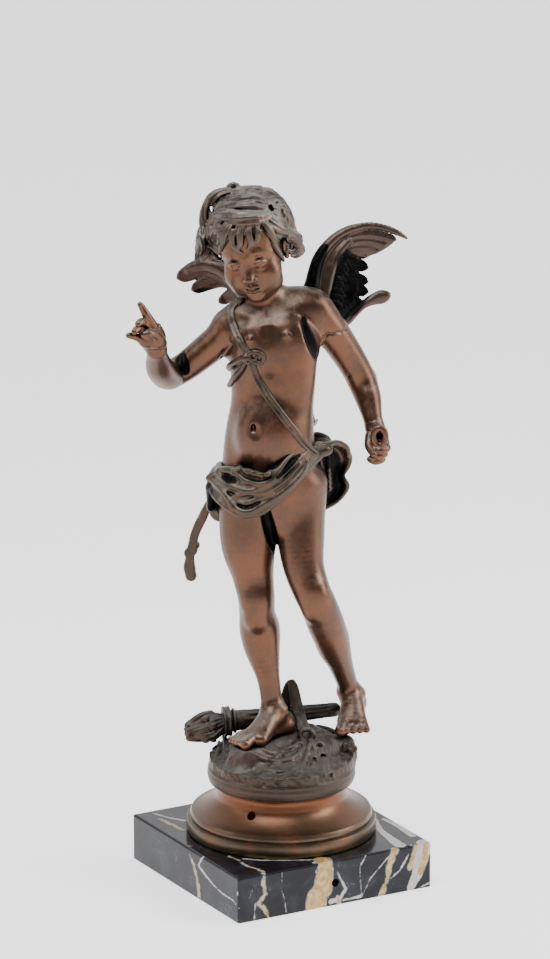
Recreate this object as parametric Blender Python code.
"""A cast cupid on a rocky mound, with a turned socle and a square marble plinth.

The base pieces are square to the axes. The mound and all that stands on it face FIGURE_TURN from
the plinth's front, and are shaped in the figure's own frame: X to its left hand, Y to its back, Z up
from its soles. Places in that frame are in figure units, of which FIGURE_UNITS make the height from
sole to hair.
"""

import math

import bmesh
import bpy
import numpy as np
from mathutils import Matrix, Vector

# Plinth of polished marble, sawn square
PLINTH_WIDTH = 0.157
PLINTH_HEIGHT = 0.0334
PLINTH_BEVEL = 0.0012
PLINTH_HOLE = 0.006
PLINTH_HOLE_DEPTH = 0.020

# Turned metal socle
SOCLE_RADIUS = 0.068
SOCLE_HEIGHT = 0.0372
SOCLE_BAND = 0.0105
SOCLE_STEP = 0.0028
SOCLE_NECK_RADIUS = 0.047
SOCLE_NECK_HEIGHT = 0.0085
SOCLE_HOLE = 0.0065
SOCLE_HOLE_DEPTH = 0.008
SOCLE_HOLE_TURN = math.radians(-55)
SOCLE_SIDES = 40

# Mound, torch, figure, wings and bow
MOUND_RADIUS = 0.0525
MOUND_HEIGHT = 0.0322
MOUND_BAND = 0.0095
FIGURE_HEIGHT = 0.404
FIGURE_TURN = math.radians(-29.3)
FIGURE_UNITS = 404
GAP = 0.0003

UNIT = FIGURE_HEIGHT / FIGURE_UNITS
SOCLE_BASE = PLINTH_HEIGHT + GAP
MOUND_BASE = SOCLE_BASE + SOCLE_HEIGHT + GAP
SOLE_LEVEL = MOUND_BASE + MOUND_HEIGHT + GAP

# The seams, in figure units: where each wing and the bow meet the back
SEAM = GAP / UNIT
WING_SEATS = {
    "left_wing": ((15.0, 21.0, 300.0), (0.35, 0.93, 0.10)),
    "right_wing": ((-9.0, 19.0, 296.0), (-0.35, 0.93, 0.10)),
}
BOW_SEAT = 33.0
WING_CLEARANCE = 2.0

# Triangles left in each casting
TRIANGLES = {"mound": 1200, "torch": 640, "figure": 5100, "left_wing": 700, "right_wing": 560, "bow": 260}


class Clay:
    """A block of clay held as signed distances on a grid, to which strokes are added and cut."""

    FAR = 30.0

    def __init__(self, low, high, step):
        self.low = np.array(low, np.float32)
        self.step = step
        self.count = np.ceil((np.array(high) - self.low) / step).astype(int) + 1
        self.field = np.full(self.count, self.FAR, np.float32)

    def window(self, low, high):
        """The slices of the grid around a stroke, and its coordinates there."""
        first = np.clip(np.floor((np.array(low) - self.low) / self.step).astype(int), 0, self.count - 1)
        last = np.clip(np.ceil((np.array(high) - self.low) / self.step).astype(int), 0, self.count - 1)
        area = tuple(slice(a, b + 1) for a, b in zip(first, last))
        lines = [self.low[n] + self.step * np.arange(first[n], last[n] + 1) for n in range(3)]
        return area, np.meshgrid(*[line.astype(np.float32) for line in lines], indexing="ij", sparse=True)

    def lay(self, area, distance, soft, cut=False):
        """Adds or cuts a distance, with a fillet of about half the softness."""
        before = self.field[area] * (-1 if cut else 1)
        if soft:
            near = np.clip(soft - np.abs(before - distance), 0, None) / soft
            after = np.minimum(before, distance) - near * near * soft / 4
        else:
            after = np.minimum(before, distance)
        self.field[area] = after * (-1 if cut else 1)

    def ball(self, centre, radii, soft=4.0, turn=None, cut=False):
        """An ellipsoid. turn is the rotation that carries its axes."""
        radii = np.array(radii, float)
        centre = np.array(centre, float)
        reach = radii.max() + soft + 2 * self.step
        area, axes = self.window(centre - reach, centre + reach)
        x, y, z = (axes[n] - centre[n] for n in range(3))
        if turn is not None:
            rows = np.array(turn.to_3x3().transposed())
            x, y, z = (row[0] * x + row[1] * y + row[2] * z for row in rows)
        inner = np.sqrt((x / radii[0]) ** 2 + (y / radii[1]) ** 2 + (z / radii[2]) ** 2)
        slope = np.sqrt((x / radii[0] ** 2) ** 2 + (y / radii[1] ** 2) ** 2 + (z / radii[2] ** 2) ** 2)
        self.lay(area, inner * (inner - 1) / np.maximum(slope, 1e-4), soft, cut)

    def sweep(self, path, soft=4.0, side=None, cut=False):
        """A smooth limb through rows of x, y, z, half width and, where it is oval, half thickness.
        The width of an oval limb lies along side."""
        rows = smooth(path)
        if rows.shape[1] == 4:
            rows = np.column_stack([rows, rows[:, 3]])
        widest = rows[:, 3:].max() + soft + 2 * self.step
        area, axes = self.window(rows[:, :3].min(0) - widest, rows[:, :3].max(0) + widest)
        shape = np.broadcast_shapes(*[a.shape for a in axes])
        nearest = np.full(shape, self.FAR, np.float32)
        start = [area[n].start for n in range(3)]
        for a, b in zip(rows, rows[1:]):
            reach = max(a[3], a[4], b[3], b[4]) + soft + 2 * self.step
            part, near = self.window(np.minimum(a, b)[:3] - reach, np.maximum(a, b)[:3] + reach)
            part = tuple(slice(part[n].start - start[n], part[n].stop - start[n]) for n in range(3))
            nearest[part] = np.minimum(nearest[part], link(a, b, near, side))
        self.lay(area, nearest, soft, cut)

    def trim(self, point, normal, reach=None):
        """Cuts away all that lies past a plane, within reach of the point."""
        point = np.array(point, float)
        normal = np.array(Vector(normal).normalized())
        low, high = self.low, self.low + self.step * self.count
        if reach is not None:
            low, high = point - reach, point + reach
        area, axes = self.window(low, high)
        past = sum(normal[n] * (axes[n] - point[n]) for n in range(3))
        if reach is not None:
            away = np.sqrt(sum((axes[n] - point[n]) ** 2 for n in range(3)))
            past = np.where(away < reach, past, -self.FAR)
        self.field[area] = np.maximum(self.field[area], past)

    def part_corners(self):
        """Fills the corners where clay would touch itself along one edge, and frees those where it would
        touch at one point, so that the skin is closed and never meets itself."""
        hair = 0.02 * self.step
        for again in range(8):
            inside = self.field < 0
            changed = 0
            for a, b in ((0, 1), (0, 2), (1, 2)):
                face = {}
                for i in (0, 1):
                    for j in (0, 1):
                        cut = [slice(None)] * 3
                        cut[a] = slice(i, inside.shape[a] - 1 + i)
                        cut[b] = slice(j, inside.shape[b] - 1 + j)
                        face[i, j] = tuple(cut)
                for p, q in (((0, 0), (1, 1)), ((0, 1), (1, 0))):
                    other = [k for k in face if k not in (p, q)]
                    bad = inside[face[p]] & inside[face[q]]
                    bad &= ~inside[face[other[0]]] & ~inside[face[other[1]]]
                    changed += int(bad.sum())
                    for k in other:
                        self.field[face[k]][bad] = -hair
            if changed:
                continue
            ends = [slice(0, -1), slice(1, None)]
            eight = [(i, j, k) for i in (0, 1) for j in (0, 1) for k in (0, 1)]
            count = sum(inside[ends[i], ends[j], ends[k]].astype(np.int8) for i, j, k in eight)
            for i, j in ((0, 0), (0, 1), (1, 0), (1, 1)):
                one = (ends[i], ends[j], ends[0])
                two = (ends[1 - i], ends[1 - j], ends[1])
                lone = inside[one] & inside[two] & (count == 2)
                gap = ~inside[one] & ~inside[two] & (count == 6)
                changed += int(lone.sum() + gap.sum())
                self.field[one][lone] = hair
                self.field[one][gap] = -hair
            if not changed:
                break

    def skin(self):
        """The surface as points and four-sided faces: one point in each grid cell that it crosses."""
        for axis in range(3):
            for end in (0, -1):
                wall = [slice(None)] * 3
                wall[axis] = end
                self.field[tuple(wall)] = self.FAR
        self.part_corners()
        corners = [(i, j, k) for i in (0, 1) for j in (0, 1) for k in (0, 1)]
        cells = self.count - 1
        inside = self.field < 0
        filled = np.zeros(cells, np.int8)
        for i, j, k in corners:
            filled += inside[i : i + cells[0], j : j + cells[1], k : k + cells[2]]
        crossed = np.argwhere((filled > 0) & (filled < len(corners)))
        number = np.full(cells, -1, np.int32)
        number[tuple(crossed.T)] = np.arange(len(crossed))
        values = {c: self.field[tuple((crossed + c).T)] for c in corners}
        total = np.zeros((len(crossed), 3))
        hits = np.zeros(len(crossed))
        for a in corners:
            for axis in range(3):
                if a[axis]:
                    continue
                b = tuple(1 if n == axis else a[n] for n in range(3))
                cross = (values[a] < 0) != (values[b] < 0)
                share = values[a] / np.where(cross, values[a] - values[b], 1)
                spot = np.tile(np.array(a, float), (len(crossed), 1))
                spot[:, axis] += share
                total += spot * cross[:, None]
                hits += cross
        points = self.low + self.step * (crossed + total / hits[:, None])
        faces = []
        for axis in range(3):
            one, two = [n for n in range(3) if n != axis]
            ahead = np.roll(inside, -1, axis)
            edges = np.argwhere(inside != ahead)
            edges = edges[(edges[:, axis] < cells[axis]) & (edges[:, one] > 0) & (edges[:, two] > 0)]
            ring = []
            for step_one, step_two in ((1, 1), (0, 1), (0, 0), (1, 0)):
                spot = edges.copy()
                spot[:, one] -= step_one
                spot[:, two] -= step_two
                ring.append(number[tuple(spot.T)])
            ring = np.column_stack(ring)
            flip = inside[tuple(edges.T)] == (axis == 1)
            ring[flip] = ring[flip][:, ::-1]
            faces.append(ring)
        return points, np.vstack(faces)


def smooth(path, parts=5):
    """A Catmull-Rom spline through the rows of a path, whatever its columns hold."""
    rows = np.array(path, float)
    if len(rows) < 3:
        return rows
    rows = np.vstack([2 * rows[0] - rows[1], rows, 2 * rows[-1] - rows[-2]])
    share = np.linspace(0, 1, parts, endpoint=False)[:, None]
    found = []
    for a, b, c, d in zip(rows, rows[1:], rows[2:], rows[3:]):
        slope = (c - a) / 2
        square = a - 2.5 * b + 2 * c - d / 2
        cube = (d - a) / 2 + 1.5 * (b - c)
        found.append(b + slope * share + square * share**2 + cube * share**3)
    return np.vstack([*found, rows[-2]])


def link(a, b, axes, side):
    """Distance to one round or oval link between two rows."""
    along = b[:3] - a[:3]
    length = max(float(np.linalg.norm(along)), 1e-6)
    from_a = [axes[n] - a[n] for n in range(3)]
    share = np.clip(sum(from_a[n] * along[n] for n in range(3)) / length**2, 0, 1)
    off = [from_a[n] - share * along[n] for n in range(3)]
    wide = a[3] + share * (b[3] - a[3])
    if side is None:
        return np.sqrt(off[0] ** 2 + off[1] ** 2 + off[2] ** 2) - wide
    thick = a[4] + share * (b[4] - a[4])
    forward = along / length
    across = np.array(side, float) - np.dot(side, forward) * forward
    across /= np.linalg.norm(across)
    up = np.cross(forward, across)
    blunt = np.minimum(wide, thick)
    inner = slope = 0
    for direction, size in ((across, wide), (up, thick), (forward, blunt)):
        reach = sum(off[n] * direction[n] for n in range(3)) / size
        inner = inner + reach**2
        slope = slope + (reach / size) ** 2
    inner = np.sqrt(inner)
    return inner * (inner - 1) / np.maximum(np.sqrt(slope), 1e-4)


def finish_mesh(name, bm, metal, parent=None, crease=35):
    """Makes a named object of a bmesh, shaded smooth but for its sharp edges."""
    bmesh.ops.recalc_face_normals(bm, faces=bm.faces)
    mesh = bpy.data.meshes.new(name)
    bm.to_mesh(mesh)
    bm.free()
    mesh.shade_smooth()
    mesh.set_sharp_from_angle(angle=math.radians(crease))
    mesh.materials.append(metal)
    piece = bpy.data.objects.new(name, mesh)
    bpy.context.scene.collection.objects.link(piece)
    piece.parent = parent
    return piece


def cast(name, clay, metal, parent, flats=()):
    """Casts a clay as a faceted solid in the figure's frame. Each flat is a point, an outward normal and a
    reach: what stands past that plane within the reach is pressed back on it."""
    points, faces = clay.skin()
    mesh = bpy.data.meshes.new(name)
    mesh.from_pydata((points * UNIT).tolist(), [], faces.tolist())
    rough = bpy.data.objects.new(name + "_clay", mesh)
    bpy.context.scene.collection.objects.link(rough)
    thin = rough.modifiers.new("thin", "DECIMATE")
    thin.ratio = min(1.0, TRIANGLES[name] / (2 * len(faces)))
    thin.use_collapse_triangulate = True
    graph = bpy.context.evaluated_depsgraph_get()
    bm = bmesh.new()
    bm.from_mesh(rough.evaluated_get(graph).to_mesh())
    bpy.data.objects.remove(rough)
    for point, normal, reach in flats:
        point = Vector(point) * UNIT
        normal = Vector(normal).normalized()
        for vertex in bm.verts:
            past = (vertex.co - point).dot(normal)
            flat_distance = (vertex.co - point - past * normal).length
            if past > 0 and flat_distance < reach * UNIT:
                vertex.co -= past * normal
    return finish_mesh(name, bm, metal, parent, crease=50)


def metal(name, colour, metallic, roughness):
    """A Principled material of one colour."""
    made = bpy.data.materials.new(name)
    made.use_nodes = True
    shader = made.node_tree.nodes["Principled BSDF"]
    shader.inputs["Base Color"].default_value = (*colour, 1)
    shader.inputs["Metallic"].default_value = metallic
    shader.inputs["Roughness"].default_value = roughness
    return made


def drill(piece, name, place, direction, diameter, depth):
    """A round blind hole, cut by a hidden peg that starts outside the piece."""
    bm = bmesh.new()
    bmesh.ops.create_cone(
        bm, cap_ends=True, segments=16, radius1=diameter / 2, radius2=diameter / 2, depth=2 * depth
    )
    peg = finish_mesh(name, bm, piece.data.materials[0], piece.parent)
    peg.location = place
    peg.rotation_euler = Vector(direction).to_track_quat("Z", "Y").to_euler()
    peg.hide_render = True
    peg.display_type = "WIRE"
    cut = piece.modifiers.new(name, "BOOLEAN")
    cut.object = peg
    cut.solver = "EXACT"


def make_plinth(stone):
    bm = bmesh.new()
    bmesh.ops.create_cube(bm, size=1)
    bmesh.ops.scale(bm, vec=(PLINTH_WIDTH, PLINTH_WIDTH, PLINTH_HEIGHT), verts=bm.verts)
    bmesh.ops.translate(bm, vec=(0, 0, PLINTH_HEIGHT / 2), verts=bm.verts)
    bmesh.ops.bevel(bm, geom=bm.edges, offset=PLINTH_BEVEL, segments=2, profile=0.5, affect="EDGES")
    piece = finish_mesh("plinth", bm, stone)
    mouth = (0, -PLINTH_WIDTH / 2, PLINTH_HEIGHT / 2)
    drill(piece, "plinth_drill", mouth, (0, -1, 0), PLINTH_HOLE, PLINTH_HOLE_DEPTH)


def socle_outline():
    """Radius and height of the socle's side, from its foot up: band, step, fillet, hollow and neck."""
    band = SOCLE_RADIUS
    step = band - SOCLE_STEP
    hollow_top = SOCLE_HEIGHT - SOCLE_NECK_HEIGHT
    hollow_foot = SOCLE_BAND + 2 * SOCLE_STEP
    outline = [(band - SOCLE_STEP / 2, 0), (band, SOCLE_STEP / 2), (band, SOCLE_BAND - SOCLE_STEP / 2)]
    outline += [(band - SOCLE_STEP / 3, SOCLE_BAND), (step, SOCLE_BAND), (step, SOCLE_BAND + SOCLE_STEP)]
    outline += [(step - SOCLE_STEP / 2, hollow_foot)]
    crown = step - SOCLE_STEP
    for n in range(1, 6):
        turn = n / 5 * math.pi / 2
        outline.append(
            (
                crown + (SOCLE_NECK_RADIUS - crown) * math.sin(turn) ** 1.3,
                hollow_foot + (hollow_top - hollow_foot) * (1 - math.cos(turn)) ** 0.8,
            )
        )
    outline += [(SOCLE_NECK_RADIUS - SOCLE_STEP / 3, SOCLE_HEIGHT - SOCLE_NECK_HEIGHT / 2)]
    outline += [(SOCLE_NECK_RADIUS + SOCLE_STEP / 3, SOCLE_HEIGHT)]
    return outline


def make_socle(bronze):
    bm = bmesh.new()
    outline = [bm.verts.new((r, 0, SOCLE_BASE + z)) for r, z in socle_outline()]
    for a, b in zip(outline, outline[1:]):
        bm.edges.new((a, b))
    line = bm.verts[:] + bm.edges[:]
    bmesh.ops.spin(
        bm, geom=line, axis=(0, 0, 1), cent=(0, 0, 0), angle=math.tau, steps=SOCLE_SIDES
    )
    bmesh.ops.remove_doubles(bm, verts=bm.verts, dist=0.00001)
    bmesh.ops.holes_fill(bm, edges=[e for e in bm.edges if e.is_boundary], sides=0)
    piece = finish_mesh("socle", bm, bronze)
    out = Vector((math.sin(SOCLE_HOLE_TURN), -math.cos(SOCLE_HOLE_TURN), 0))
    place = out * (SOCLE_NECK_RADIUS + SOCLE_STEP / 2)
    place.z = SOCLE_BASE + SOCLE_HEIGHT - 1.5 * SOCLE_NECK_HEIGHT
    out.z = 0.35
    drill(piece, "socle_drill", place, out, SOCLE_HOLE, SOCLE_HOLE_DEPTH)


# Where the soles press on the mound: x, y and radius
RIGHT_SOLE = [(4, 9, 10), (-5, -4, 10), (-14, -15, 11), (-22, -24, 12), (-28, -24, 11)]
LEFT_SOLE = [(42, 4, 7), (47, 6, 7), (51, 7, 6)]
TORCH_RIBBON = [
    (5, 25, 6, 4.2, 2.0),
    (3, 22, 22, 4.0, 1.7),
    (7, 22, 36, 3.4, 1.8),
    (13, 20, 24, 3.8, 1.7),
    (18, 16, 6, 4.4, 2.0),
]
TORCH_AXIS = ((-63, 19, -2.0), (-35, 24, 2.8), (36, 35, 7.2))
SCROLLS = [
    [
        (-32, -34, -16, 2.0), (-22, -39, -12, 2.6), (-13, -42, -16, 2.2),
        (-4, -43, -12, 2.8), (4, -43, -16, 2),
    ],
    [(-20, -36, -7, 2.4), (-10, -38, -5, 2.4), (0, -36, -4, 2.8), (8, -32, -1, 2.4)],
]


def make_mound(bronze, parent):
    base = -MOUND_HEIGHT / UNIT - SEAM
    radius = MOUND_RADIUS / UNIT
    band = MOUND_BAND / UNIT
    clay = Clay((-radius - 8, -radius - 8, base - 4), (radius + 20, radius + 8, 8), 1.9)
    area, (x, y, z) = clay.window(clay.low, clay.low + clay.step * clay.count)
    out = np.sqrt(x**2 + y**2)
    swell = 1.6 * np.exp(-(((z - base - 0.55 * band) / (0.45 * band)) ** 2))
    clay.lay(area, np.maximum(out - radius + 1.2 - swell, np.abs(z - base - 4) - band - 4), 0)
    clay.ball((1, 1, base + 7), (radius - 2, radius - 2, 21), 5)
    clay.ball((20, 12, -15), (26, 32, 18), 8)
    clay.ball((-22, 14, -19), (26, 26, 15), 8)
    for x, y, size in RIGHT_SOLE + LEFT_SOLE:
        clay.sweep([(x, y, -16, size), (x, y, -8, size * 0.8)], 8)
    # scrolls along the front, and ribbon tails that stream down the right
    for scroll in SCROLLS:
        clay.sweep(scroll, 3)
    for n in range(4):
        x = 15 + 7 * n
        tail = [(x, -27 + 2 * n, -2, 2.2), (x + 2, -36 + 3 * n, -9, 2.4), (x - 1, -42 + 4 * n, -18, 2)]
        clay.sweep(tail, 3)
    # a ring of ribbon, a flower at the edge and leaves of rock at the far left
    for n in range(8):
        turn = n * math.tau / 8
        clay.ball((17 + 4.2 * math.cos(turn), -24, 2 + 4.2 * math.sin(turn)), (2.2, 2.4, 2.2), 3)
    for n in range(5):
        turn = n * math.tau / 5
        clay.ball((41 + 3.2 * math.cos(turn), -17, -8 + 3.4 * math.sin(turn)), (2.5, 3.0, 2.5), 2)
    for n in range(3):
        clay.sweep([(-38 + 3 * n, -12 - 3 * n, -4, 3.0), (-44 + 3 * n, -17 - 3 * n, -13, 1.8)], 2)
    clay.sweep(grown(TORCH_RIBBON, 1.5), 0, (1, 0.2, 0), cut=True)
    clay.trim((0, 0, base), (0, 0, -1))
    flats = [((0, 0, base), (0, 0, -1), 2 * radius)]
    for x, y, size in RIGHT_SOLE + LEFT_SOLE:
        clay.trim((x, y, -SEAM), (0, 0, 1), size + 3)
        flats.append(((x, y, -SEAM), (0, 0, 1), size + 3))
    return cast("mound", clay, bronze, parent, flats)


def make_torch(bronze, parent):
    flame, ring, end = (np.array(p, float) for p in TORCH_AXIS)
    along = (end - ring) / np.linalg.norm(end - ring)
    clay = Clay((-74, 2, -16), (46, 48, 44), 1.25)
    clay.sweep([(*ring, 7.6), (*(ring + 0.5 * (end - ring)), 6.6), (*end, 5.2)], 0)
    up = np.array((0, 0, 1.0))
    across = np.cross(up, along)
    across /= np.linalg.norm(across)
    top = np.cross(along, across)
    for n in range(8):
        turn = n * math.tau / 8
        out = math.cos(turn) * across + math.sin(turn) * top
        flute = [(*(ring + 7.9 * out + 3 * along), 1.3), (*(end + 5.4 * out - 5 * along), 0.9)]
        clay.sweep(flute, 1.2, cut=True)
    clay.sweep([(*(ring - 2.2 * along), 10.5), (*(ring - 1.2 * along), 10.5)], 1.5)
    clay.trim(ring + 1.6 * along, along, 12)
    clay.sweep([(*(ring + 1.0 * along), 7.6), (*(ring + 12 * along), 7.3)], 0.5)
    clay.trim(ring - 3.6 * along, -along, 14)
    for n in range(7):
        turn = n * math.tau / 7
        out = math.cos(turn) * across + math.sin(turn) * top
        root = ring - 3 * along + 4.5 * out
        tip = flame + 5.2 * out + 3 * (n % 2) * along
        middle = (root + tip) / 2 + 3.0 * out - 1.5 * up
        clay.sweep([(*root, 4.4), (*middle, 5.0), (*tip, 2.6)], 2.5)
    clay.sweep([(*(ring - 4 * along), 6.5), (*(flame + 3 * along), 5)], 2)
    # the ribbon that is tied round it and stands up in a loop
    clay.sweep(TORCH_RIBBON, 1, (1, 0.2, 0))
    return cast("torch", clay, bronze, parent)


# The child's frame: x, y, z and the half width, then the half thickness of oval places
SPINE = [
    (-8, 5, 166, 32, 20),
    (-8, 5, 186, 35.5, 24),
    (-8.5, 4, 204, 34, 23.5),
    (-8, 3, 222, 32.5, 22),
    (-6.4, 3, 246, 30, 20.5),
    (-5.6, 4, 268, 31, 21.5),
    (-5.4, 6, 290, 31.5, 22),
    (-6, 8, 304, 25, 17),
    (-7, 9, 312, 15, 12),
]
TORSO_SIDE = (0.94, -0.34, 0)
NECK = [(-6, 11, 304, 14), (-9, 9, 318, 12.6), (-15, 7, 338, 12.4)]
RIGHT_LEG = [
    (-22, 3, 186, 22),
    (-23.2, 2, 165, 21),
    (-23.2, 0, 143, 19.3),
    (-20.6, -2, 124, 15.2),
    (-17.8, -4, 106, 13.2),
    (-17, -1, 92, 12.8),
    (-15.4, 4, 78, 14.2),
    (-13.6, 5, 64, 12.6),
    (-9.6, 5, 44, 8.6),
    (-7, 5, 26, 7.6),
    (-5, 4, 14, 8.6),
]
LEFT_LEG = [
    (13, 4, 186, 20),
    (13.4, 1, 168, 18.0),
    (14, -4, 148, 16.6),
    (15.8, -9, 130, 14.6),
    (21, -12, 114, 13.4),
    (26.6, -11, 101, 13.0),
    (32, -3, 84, 13.2),
    (37, 6, 67, 11.8),
    (42, 15, 50, 9.0),
    (46.8, 24, 33, 7.4),
    (49.5, 29, 22, 7.6),
]
LEFT_ARM = [
    (10, 11, 316, 10),
    (22, 12, 313, 13),
    (31.5, 15, 301, 12.6),
    (43, 21, 283, 11.4),
    (52.5, 25, 266, 10.6),
    (57.5, 25, 255, 10.2),
    (61.2, 20, 246, 9.4),
    (63.6, 14, 237, 7.6),
    (65.2, 9, 228, 6.2),
]
RIGHT_ARM = [
    (-20, 10, 308, 10),
    (-31, 9, 301, 12.6),
    (-41, 10, 293, 12.0),
    (-53, 12, 282.5, 11.2),
    (-66, 13, 271.5, 10.4),
    (-75.5, 12, 266, 10.2),
    (-79.4, 6, 266, 10.4),
    (-83, -4, 271, 10.4),
    (-85.6, -16, 279, 9.6),
    (-86.6, -27, 288.5, 7.8),
    (-86.8, -35, 295.5, 6.6),
]
RIGHT_PALM = [(-87, -36, 297, 6.8, 5), (-88.6, -40, 304, 9.4, 4.6), (-92, -45, 312, 9.8, 4.4)]
RIGHT_FINGERS = [
    [(-89.4, -46, 317, 3.8), (-93.6, -49, 325.3, 3.0), (-96.6, -50, 331.2, 2.5), (-98, -51, 333.6, 2.1)],
    [(-92, -47, 315, 3.6), (-96.4, -51, 321, 3.0), (-99.4, -56, 321.6, 2.5)],
    [(-94.6, -48, 311.5, 3.4), (-99.2, -53, 316.6, 2.8), (-102, -58, 316.4, 2.4)],
    [(-96, -47, 306, 3.2), (-102, -51, 310.4, 2.5), (-106.2, -54, 312.2, 2.2)],
    [(-84, -41, 303, 4.4), (-87, -48, 310.6, 3.9), (-92, -53, 313.6, 3.2), (-95.4, -55, 313.4, 2.7)],
]
LEFT_PALM = [(66.4, 8.5, 227, 6.2, 5.2), (68.8, 6, 221, 7.8, 5.6), (71, 4, 215, 7.6, 5.4)]
HEAD_CENTRE = (-21, 3, 367)
HEAD_PITCH = Matrix.Rotation(math.radians(13), 4, "X")
HEAD_ROLL = Matrix.Rotation(math.radians(-11), 4, "Y")
HEAD_YAW = Matrix.Rotation(math.radians(-12), 4, "Z")
HEAD_TURN = HEAD_YAW @ HEAD_PITCH @ HEAD_ROLL


def on_head(x, y, z):
    """A place in the head's own axes: X to its left, Y to the back of the skull, Z to the crown."""
    return tuple(HEAD_TURN @ Vector((x, y, z)) + Vector(HEAD_CENTRE))


def model_body(clay):
    clay.sweep(SPINE, 0, TORSO_SIDE)
    clay.ball((-9, -12, 228), (21, 14, 22), 12)
    clay.ball((-14, 4, 288), (20, 18, 16), 12)
    clay.ball((6, 6, 292), (18, 17, 16), 12)
    for x, y in ((-19, 17), (6, 19)):
        clay.ball((x, y, 180), (15, 15, 17), 8)
    for x, y in ((-19, 21), (9, 23)):
        clay.ball((x, y, 290), (10, 6, 14), 10)
    clay.sweep([(-22, 11, 302, 9), (-9, 10, 312, 10), (8, 11, 320, 9), (22, 12, 316, 10)], 10)
    clay.sweep(NECK, 8)
    clay.sweep(RIGHT_LEG, 4)
    clay.sweep(LEFT_LEG, 4)
    clay.sweep(RIGHT_ARM, 7)
    clay.sweep(LEFT_ARM, 7)


def model_feet(clay):
    heel, ankle, ball = (3, 11, 6.5), (-5, 4, 17), (-19, -20, 5)
    clay.ball(heel, (7.4, 8, 7.6), 6)
    clay.sweep([(*ankle, 8.2, 8.2), (-11, -7, 11, 8.6, 7.6), (*ball, 10.2, 5)], 6, (-0.62, 0.5, 0))
    clay.sweep([(2, 8, 4, 6, 5), (-9, -3, 4, 6.4, 4), (-20, -18, 4, 9.6, 4.4)], 5, (-0.62, 0.5, 0))
    for n in range(5):
        share = n / 4
        tip = np.array((-25.5 - 9.5 * share, -30 + 11 * share, 3.2 - 0.6 * share))
        size = 3.9 if n == 0 else 2.9 - 0.5 * share
        root = np.array((-18 - 9 * share, -21 + 9 * share, 5))
        clay.sweep([(*root, size + 0.8), (*((root + tip) / 2 + (0, 0, 1.2)), size), (*tip, size)], 2)
    heel, ankle, ball = (54.5, 36, 14), (50, 28, 22), (50.5, 9, 8)
    clay.ball(heel, (6.6, 7, 8), 6)
    clay.sweep([(*ankle, 7.6, 7.6), (50.5, 19, 15, 8.2, 7), (*ball, 9.4, 5)], 6, (1, 0.1, 0))
    clay.sweep([(54, 34, 11, 5.6, 5), (52, 20, 8, 7, 4.4), (50.5, 8, 5, 8.6, 4.4)], 5, (1, 0.1, 0))
    for n in range(5):
        share = n / 4
        tip = np.array((43 + 16 * share, 0.5 + 5 * share, 3.4 - 0.8 * share))
        size = 3.9 if n == 0 else 2.9 - 0.5 * share
        root = np.array((45 + 12 * share, 9 + 2 * share, 7))
        clay.sweep([(*root, size + 0.8), (*((root + tip) / 2 + (0, -1.5, 1)), size), (*tip, size)], 2)


def model_hands(clay):
    clay.sweep(RIGHT_PALM, 4, (0.57, 0, 0.82))
    for finger in RIGHT_FINGERS:
        clay.sweep(finger, 1.5)
    clay.sweep(LEFT_PALM, 4, (1, -0.3, 0.1))
    for n in range(4):
        x, z = 75.2 - 1.8 * n, 219.5 - 3.8 * n
        knuckles = [(x - 1, 5, z, 3.3), (x + 1.6, -1, z - 0.6, 2.9)]
        clay.sweep([*knuckles, (x - 3, -5, z - 1, 2.7), (x - 6, -3, z, 2.4)], 1.2)
    clay.sweep([(63.6, 4, 223, 3.6), (63.6, -1, 217, 3.3), (66.4, -4.5, 213, 2.8)], 2)
    clay.sweep([(70.8, -14, 222.4, 1.8), (70.8, 16, 222.4, 1.8)], 0.6, cut=True)


def model_head(clay):
    clay.ball(on_head(0, 4, 3), (23.5, 27, 25), 0, HEAD_TURN)
    clay.ball(on_head(0, -9, -13), (19, 16.5, 21), 9, HEAD_TURN)
    clay.ball(on_head(0, -15, -30), (10, 9, 8), 10, HEAD_TURN)
    clay.ball(on_head(0, -21, -34), (5, 4.5, 4.5), 5, HEAD_TURN)
    for side in (-1, 1):
        clay.ball(on_head(side * 11, -17, -20), (8, 7, 8), 6, HEAD_TURN)
        clay.ball(on_head(side * 9.4, -29.5, -8.5), (5.2, 4, 3.2), 4, HEAD_TURN, cut=True)
        clay.ball(on_head(side * 9.2, -23.4, -8.8), (4.6, 3.6, 3.4), 1.5, HEAD_TURN)
        clay.ball(on_head(side * 23, 1, -10), (2.6, 5, 7.5), 2, HEAD_TURN)
    nose = [(*on_head(0, -24.6, -6), 2.6), (*on_head(0, -27.6, -14), 2.6), (*on_head(0, -29, -19), 3.2)]
    clay.sweep(nose, 3)
    for side in (-1, 1):
        clay.ball(on_head(side * 3, -26.4, -20), (2.6, 3, 2.4), 1.5, HEAD_TURN)
    clay.ball(on_head(0, -25.4, -26.2), (5.6, 3.0, 1.7), 1.5, HEAD_TURN)
    clay.ball(on_head(0, -24.8, -29.2), (4.6, 3.0, 1.8), 1.5, HEAD_TURN)


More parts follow.
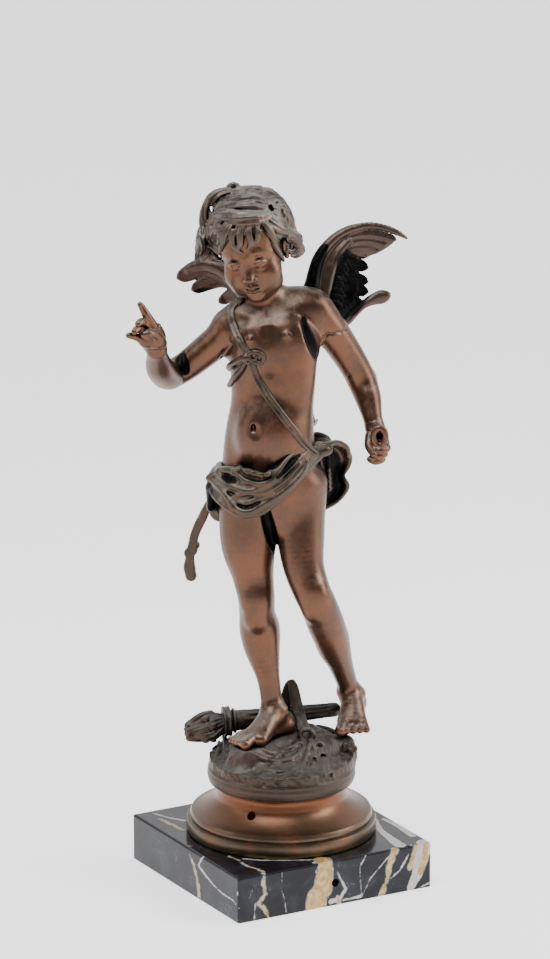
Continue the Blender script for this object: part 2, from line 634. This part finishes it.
# Locks in the head's axes, root to tip, each row with its half width
FRONT_LOCKS = [
    [(-25, -10, 22, 4), (-15, -23, 26, 7.4), (-2, -27, 28, 8.2), (12, -22, 26, 7.6), (20, -12, 22, 4)],
    [(-20, -12, 28, 4), (-9, -18, 34, 5), (4, -17, 35, 5), (16, -10, 30, 4)],
    [(-6, -28, 20, 5), (-16, -28, 14, 5.4), (-24, -22, 5, 5), (-28, -16, -6, 3.6), (-31, -14, -12, 1.6)],
    [(-20, -22, 18, 5), (-27, -14, 10, 6), (-31, -8, -1, 5.4), (-35, -6, -11, 3.6), (-35, -9, -17, 1.6)],
    [(-27, -6, 16, 6), (-32, 0, 6, 6.2), (-32, 2, -8, 5.4), (-28, 1, -18, 3)],
    [(-4, -29, 19, 4.6), (-9, -31, 11, 4), (-12, -30, 3, 3), (-9, -31, -2, 1.6)],
    [(-2, -29, 20, 4.4), (-2, -32, 11, 4), (-6, -31.5, 4, 3), (-3, -31.5, -1, 1.8)],
    [(0, -29, 20, 4.6), (6, -31, 13, 4.2), (5, -31, 6, 3), (9, -29.5, 3, 1.6)],
    [(3, -28, 20, 5), (13, -27, 15, 5.2), (19, -22, 7, 4.2), (18, -22, 1, 2)],
    [(6, -26, 21, 5), (19, -22, 16, 5.6), (27, -13, 8, 5.4), (32, -10, 1, 4.6), (33, -8, -7, 3.6)],
    [(22, -10, 20, 5.4), (30, -3, 10, 6), (33, -1, -1, 5.6), (30, -3, -11, 4.4), (26, -5, -15, 2.6)],
]
BACK_LOCK = (3.4, 5.6, 6.6, 6.6, 6.0, 3.4)
HAIR_PITS = [(-23, -17, 18), (20, -18, 21), (23, -14, 1)]


def model_hair(clay):
    clay.ball(on_head(-2, 9, 5), (28, 26, 25), 4, HEAD_TURN)
    clay.ball(on_head(-1, 17, -6), (25, 18, 21), 6, HEAD_TURN)
    for lock in FRONT_LOCKS:
        clay.sweep([(*on_head(*row[:3]), row[3]) for row in lock], 1.6)
    # the sides and the back, combed down from the crown in waves that curl out at their ends
    for n in range(11):
        a = math.radians(62 + 23.6 * n)
        path = []
        for m in range(6):
            fall = math.radians(12 + 21 * m)
            bend = a + 0.16 * math.sin(1.7 * m + 2.2 * n)
            out = 1 + 0.05 * math.sin(2.3 * m + n) + (0.06 if m == 5 else 0)
            x = 28.5 * out * math.sin(bend) * math.sin(fall) - 2
            y = 7 - 29 * out * math.cos(bend) * math.sin(fall)
            path.append((*on_head(x, y, 5 + 25 * out * math.cos(fall)), BACK_LOCK[m]))
        clay.sweep(path, 1.6)
    clay.ball(on_head(-12, 0, 31), (6.5, 6, 5.5), 2.5)
    clay.ball(on_head(3, 6, 29), (9, 9, 5), 3)
    for pit in HAIR_PITS:
        clay.ball(on_head(*pit), (2.6, 6, 2.6), 1.5, HEAD_TURN, cut=True)


# Cloth round the hips: its upper hem and its lower hem, from the right hip over the front to the left hip
UPPER_HEM = [
    (-43, 12, 197), (-43, -3, 198), (-36.5, -18, 203), (-24, -27, 203.5), (-10.5, -28.5, 200.5),
    (-1, -26, 207.5), (8, -21, 214), (17, -11, 216), (26, 0, 215),
]
LOWER_HEM = [
    (-50, 6, 184), (-49, -7, 183), (-41.5, -23, 179), (-27, -31, 172.5), (-14, -31, 175.5),
    (-3, -27, 182), (7, -23, 190), (17, -16, 202), (26, -5, 208),
]


FOLDS = (4.6, 2.8, 4.0, 2.8, 3.2)
FLARE_RIM = [
    (31, 8, 215.4), (43, 17, 210.7), (48.6, 21, 202), (47.4, 22, 194),
    (43.4, 21, 187.5), (47, 22, 178.8), (40, 21, 169), (30, 17, 164),
]
FLARE_ROOT = [
    (27, 6, 212), (27, 9, 204), (27, 10, 196), (27, 11, 190),
    (27, 11, 184), (26, 11, 178), (25, 11, 172), (24, 11, 167),
]
FALLEN_END = [(-50.5, 4, 184, 3), (-50, 8, 174, 2.8), (-47.6, 10, 162, 2.8), (-42, 10, 158.5, 2.6)]


def hem_point(share, fall):
    """A place on the cloth: share runs along the hems, fall from the upper to the lower one."""
    spot = share * (len(UPPER_HEM) - 1)
    n = min(int(spot), len(UPPER_HEM) - 2)
    upper, lower = (
        np.array(hem[n]) + (spot - n) * (np.array(hem[n + 1]) - np.array(hem[n]))
        for hem in (UPPER_HEM, LOWER_HEM)
    )
    return upper + fall * (lower - upper)


def model_cloth(clay):
    for row in range(5):
        fall = row / 4
        path = []
        for n in range(13):
            share = n / 12
            point = hem_point(share, fall)
            sag = 2.4 * math.sin(math.pi * share) * math.sin(math.pi * fall)
            wave = 1.5 * math.sin(9 * share + 2.2 * row)
            path.append((*(point + (0, -abs(wave) * 0.5, -sag + wave)), FOLDS[row]))
        clay.sweep(path, 2.6)
    # the back of the cloth hangs in pleats from hip to hip
    for n in range(17):
        a = math.radians(-96 + 12 * n)
        out = 1 + 0.05 * math.cos(n * math.pi / 1.5)
        x, y, hem = 42 * out * math.sin(a), 25 * out * math.cos(a), 170 + 5 * math.cos(2.2 * a)
        top = (x - 7, y + 5, 206 + 5 * math.sin(a), 4)
        middle = (1.04 * x - 7, 1.08 * y + 6, 188, 3.6)
        clay.sweep([top, middle, (1.06 * x - 7, 1.12 * y + 6, hem, 2.8)], 3.5)
    # the knot on the left hip and the end that flares out behind it, hollow towards the front
    clay.ball((29, 2, 213), (8, 7, 5.6), 3)
    for edge, root in zip(smooth(FLARE_RIM, 3), smooth(FLARE_ROOT, 3)):
        clay.sweep([(*root, 3), (*(0.5 * (edge + root) + (3, 8, 0)), 2.4), (*edge, 2.2)], 1.5)
    clay.sweep(FALLEN_END, 2)


def front_of(clay, x, z, lift):
    """The place on the front of the clay at x and z, lifted off it."""
    column = tuple(int(round((v - clay.low[n]) / clay.step)) for n, v in ((0, x), (2, z)))
    hit = int(np.argmax(clay.field[column[0], :, column[1]] < 0))
    before, after = clay.field[column[0], hit - 1, column[1]], clay.field[column[0], hit, column[1]]
    return (x, clay.low[1] + clay.step * (hit - 1 + before / (before - after)) - lift, z)


# Ribbons on the breast, as x and z of each bend, laid on the skin
STRAP = [
    (-31, 313), (-33, 304), (-29.5, 295), (-23.6, 287), (-17.5, 275), (-11.9, 263),
    (-5.6, 251.5), (1.5, 240), (9, 229), (17, 218), (24, 211),
]
STRAP_BEHIND = [
    (-8, 23, 318, 3.0, 1.8), (2, 25, 290, 2.6, 1.8), (14, 25, 262, 2.6, 1.8),
    (25, 17, 235, 2.6, 1.8), (29, 6, 217, 2.6, 1.8),
]
RIBBONS = [
    [(-22, 287, 2.2), (-16, 289.4, 2.6), (-13.4, 286.6, 2.4), (-16, 284, 2.2), (-21, 285.6, 1.8)],
    [(-24, 287, 2.2), (-30, 285.6, 2.6), (-33.4, 281.6, 2.4), (-29, 282, 2.2), (-25, 284.6, 1.8)],
    [(-24.6, 285, 2.2), (-27.4, 279, 2.6), (-29, 273, 2.4), (-33, 267, 1.8)],
]


def model_strap(clay):
    over = [(-8, 23, 318), (-14, 15, 325), (-22, 4, 322), (-29, -5, 317.5)]
    front = [front_of(clay, x, z, 0.8) for x, z in STRAP]
    ribbons = [[(*front_of(clay, x, z, 2.4), size) for x, z, size in ribbon] for ribbon in RIBBONS]
    knot = front_of(clay, -23.4, 286.6, 2)
    clay.sweep([(*p, 2.9, 1.8) for p in over + front[:4]], 1, (0.85, -0.5, 0.2))
    for offset in (-1.5, 1.5):
        clay.sweep([(x + offset, y, z + offset / 2, 1.7) for x, y, z in front[3:]], 0.8)
    clay.ball(knot, (3.8, 3, 3.4), 1)
    for ribbon in ribbons:
        clay.sweep(ribbon, 0.8)
    clay.sweep(STRAP_BEHIND, 1, (0.6, 0, 0.8))


def make_figure(bronze, parent):
    clay = Clay((-116, -68, -2), (80, 46, FIGURE_UNITS + 6), 1.9)
    model_body(clay)
    model_feet(clay)
    model_hands(clay)
    model_head(clay)
    model_hair(clay)
    model_cloth(clay)
    model_strap(clay)
    flats = [((0, 0, 0), (0, 0, -1), 200)]
    clay.trim((0, 0, 0), (0, 0, -1))
    for point, normal in WING_SEATS.values():
        point, normal = Vector(point), Vector(normal).normalized()
        clay.sweep([(*(point - 12 * normal), 9), (*(point - 2 * normal), 8)], 5)
        clay.trim(point, normal, 16)
        flats.append((point, normal, 16))
    clay.trim((-10, BOW_SEAT, 190), (0, 1, 0), 115)
    flats.append(((-10, BOW_SEAT, 190), (0, 1, 0), 115))
    return cast("figure", clay, bronze, parent, flats)


# Wings: the arm from the seat along the leading edge, then a feather each: root, middle, tip and half width
LEFT_WING_ARM = [
    (15.5, 26, 302, 7), (20, 31, 318, 7), (25, 36, 335, 7),
    (34.5, 41, 350, 7), (48, 44, 360, 5.6), (60, 46, 363.4, 3.8),
]
LEFT_FEATHERS = [
    ((40, 43, 354), (64, 46, 361.5), (89, 47, 351.5), 5.0),
    ((36, 42, 348), (58, 46, 357), (80, 48, 350.5), 4.8),
    ((33, 40, 342), (50, 45, 351), (69, 48, 345.5), 4.8),
    ((29, 38, 336), (42, 43, 344), (58, 47, 342), 5.0),
    ((26, 36, 328), (40, 42, 335), (52, 47, 336), 5.4),
    ((25, 35, 320), (42, 42, 326), (57, 47, 329), 5.6),
    ((24, 33, 312), (44, 42, 316), (59, 48, 319), 5.6),
    ((22, 32, 306), (44, 41, 306), (59, 47, 310), 5.4),
    ((22, 31, 300), (46, 38, 298), (72, 50, 308), 5.0),
]
RIGHT_WING_ARM = [
    (-9.5, 24, 298, 7), (-14, 31, 310, 6.4), (-22, 38, 324, 6), (-36, 44, 334, 5), (-50, 47, 336, 3.6),
]
RIGHT_FEATHERS = [
    ((-30, 41, 331), (-52, 48, 334), (-69, 50, 325), 7.6),
    ((-26, 39, 322), (-44, 46, 324), (-58, 49, 316), 7.4),
    ((-22, 36, 314), (-34, 43, 314), (-43, 46, 307), 7.2),
    ((-17, 33, 306), (-24, 40, 303), (-31, 44, 298), 6),
]


def make_wing(name, arm, feathers, bronze, parent):
    point, normal = (Vector(v) for v in WING_SEATS[name])
    normal.normalize()
    spots = np.array([p[:3] for p in arm] + [spot for feather in feathers for spot in feather[:3]])
    clay = Clay(spots.min(0) - 14, spots.max(0) + 14, 1.5)
    clay.sweep([(*(point + 1 * normal), 7.4), *arm], 2)
    for root, middle, tip, width in feathers:
        lean = np.cross(np.array(tip) - np.array(root), (0.15, 1, 0.1))
        lean /= np.linalg.norm(lean)
        clay.sweep([(*root, width, 2.2), (*middle, width, 2.0), (*tip, width * 0.7, 1.6)], 1.2, lean)
    for limb, side in ((SPINE, TORSO_SIDE), (LEFT_ARM, None), (RIGHT_ARM, None)):
        clay.sweep(grown(limb, WING_CLEARANCE), 0, side, cut=True)
    clay.ball(on_head(0, 10, 2), (36, 32, 34), 0, HEAD_TURN, cut=True)
    seat = point + SEAM * normal
    clay.trim(seat, -normal, 22)
    return cast(name, clay, bronze, parent, [(seat, -normal, 22)])


def grown(path, by):
    """The same path with every half width larger."""
    return [(*row[:3], *(size + by for size in row[3:])) for row in path]


# The bow's limb from its lower end to its upper one: x, z and half width
BOW_LIMB = [
    (-63, 108, 3.2), (-66, 113, 3.4), (-68, 120, 2.9), (-66.6, 130, 3.2), (-62, 143, 3.8),
    (-53, 158, 3.8), (-40, 176, 3.8), (-26, 194, 4), (-16, 206, 4.4), (-4, 224, 4),
    (4, 242, 3.8), (8, 262, 3.4), (14, 276, 2.6), (22, 283, 2.6),
]


def make_bow(bronze, parent):
    """The bow hangs across the back, flat against the cloth: only its lower limb shows past the hip."""
    y = BOW_SEAT + SEAM + 3.0
    clay = Clay((-80, y - 10, 92), (36, y + 10, 298), 1.4)
    clay.sweep([(x, y, z, size) for x, z, size in BOW_LIMB], 0)
    clay.ball((-63.5, y, 107.5), (4.4, 4, 4.4), 2)
    clay.ball((24, y, 284), (3.6, 3.4, 3.6), 2)
    clay.sweep([(-61, y, 143, 2.6), (-60, y, 133, 3.0), (-58.5, y, 124, 1.8)], 2)
    clay.trim((0, BOW_SEAT + SEAM, 190), (0, -1, 0))
    return cast("bow", clay, bronze, parent, [((0, BOW_SEAT + SEAM, 190), (0, -1, 0), 300)])


def main():
    for old in list(bpy.data.objects):
        bpy.data.objects.remove(old)
    stone = metal("black_gold_marble", (0.02, 0.022, 0.03), 0.0, 0.12)
    copper = metal("copper_brown_bronze", (0.30, 0.13, 0.07), 0.85, 0.38)
    brown = metal("warm_brown_bronze", (0.22, 0.12, 0.08), 0.8, 0.42)
    dark = metal("grey_olive_bronze", (0.13, 0.11, 0.09), 0.8, 0.5)
    make_plinth(stone)
    make_socle(copper)
    stand = bpy.data.objects.new("figure_stand", None)
    bpy.context.scene.collection.objects.link(stand)
    stand.location = (0, 0, SOLE_LEVEL)
    stand.rotation_euler = (0, 0, FIGURE_TURN)
    mound = make_mound(dark, stand)
    make_torch(dark, stand)
    bed_for_torch(mound)
    make_figure(brown, stand)
    make_wing("left_wing", LEFT_WING_ARM, LEFT_FEATHERS, dark, stand)
    make_wing("right_wing", RIGHT_WING_ARM, RIGHT_FEATHERS, dark, stand)
    make_bow(dark, stand)


def bed_for_torch(mound):
    """Cuts the groove in which the torch lies."""
    flame, ring, end = (Vector(p) for p in TORCH_AXIS)
    along = (end - ring).normalized()
    bed = Clay((-80, 0, -20), (60, 54, 30), 1.6)
    bed.sweep([(*(flame - 4 * along), 12), (*((flame + ring) / 2), 15), (*(ring - 3 * along), 12.4)], 0)
    bed.sweep([(*ring, 9.0), (*(end + 6 * along), 7.2)], 0)
    points, faces = bed.skin()
    mesh = bpy.data.meshes.new("torch_bed")
    mesh.from_pydata((points * UNIT).tolist(), [], faces.tolist())
    cutter = bpy.data.objects.new("torch_bed", mesh)
    bpy.context.scene.collection.objects.link(cutter)
    cutter.parent = mound.parent
    cutter.hide_render = True
    cutter.display_type = "WIRE"
    thin = cutter.modifiers.new("thin", "DECIMATE")
    thin.ratio = 0.06
    cut = mound.modifiers.new("torch_bed", "BOOLEAN")
    cut.object = cutter
    cut.solver = "EXACT"


main()
